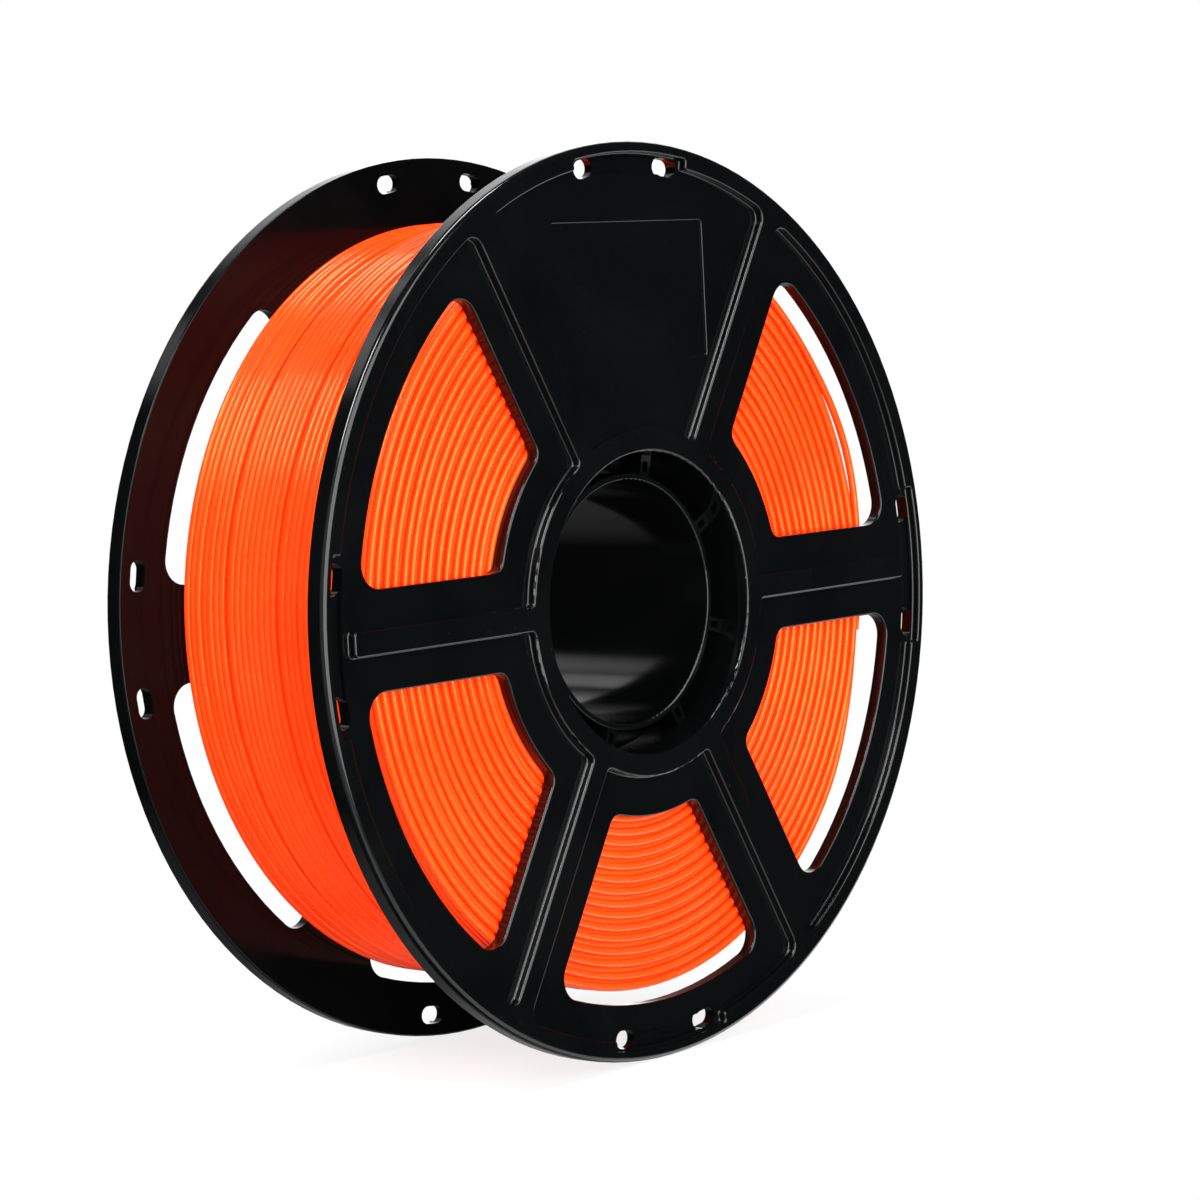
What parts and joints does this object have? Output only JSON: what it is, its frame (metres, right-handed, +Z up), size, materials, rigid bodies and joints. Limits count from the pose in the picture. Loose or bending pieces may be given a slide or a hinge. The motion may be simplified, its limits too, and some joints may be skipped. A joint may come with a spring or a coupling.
{
  "type": "filament spool",
  "caption": "Round plastic spool wound full of 3D-printing filament, with windowed flanges and a wide bore that it turns on.",
  "frame": {"origin": "middle of the bore: on the axle line, halfway between the flanges", "axes": "+Y along the axle line from the front flange to the rear flange, +Z up with the spool standing on its rims and the label recess at the top, +X to the right seen from the front"},
  "size_m": [0.2, 0.065, 0.2],
  "materials": {
    "black_plastic": "gloss",
    "orange_filament": "gloss"
  },
  "bodies": {
    "root": {"front_flange": "black_plastic", "rear_flange": "black_plastic", "winding_drum": "black_plastic", "bore_tube": "black_plastic", "filament_winding": "orange_filament", "filament_end": "orange_filament"}
  },
  "joints": []
}
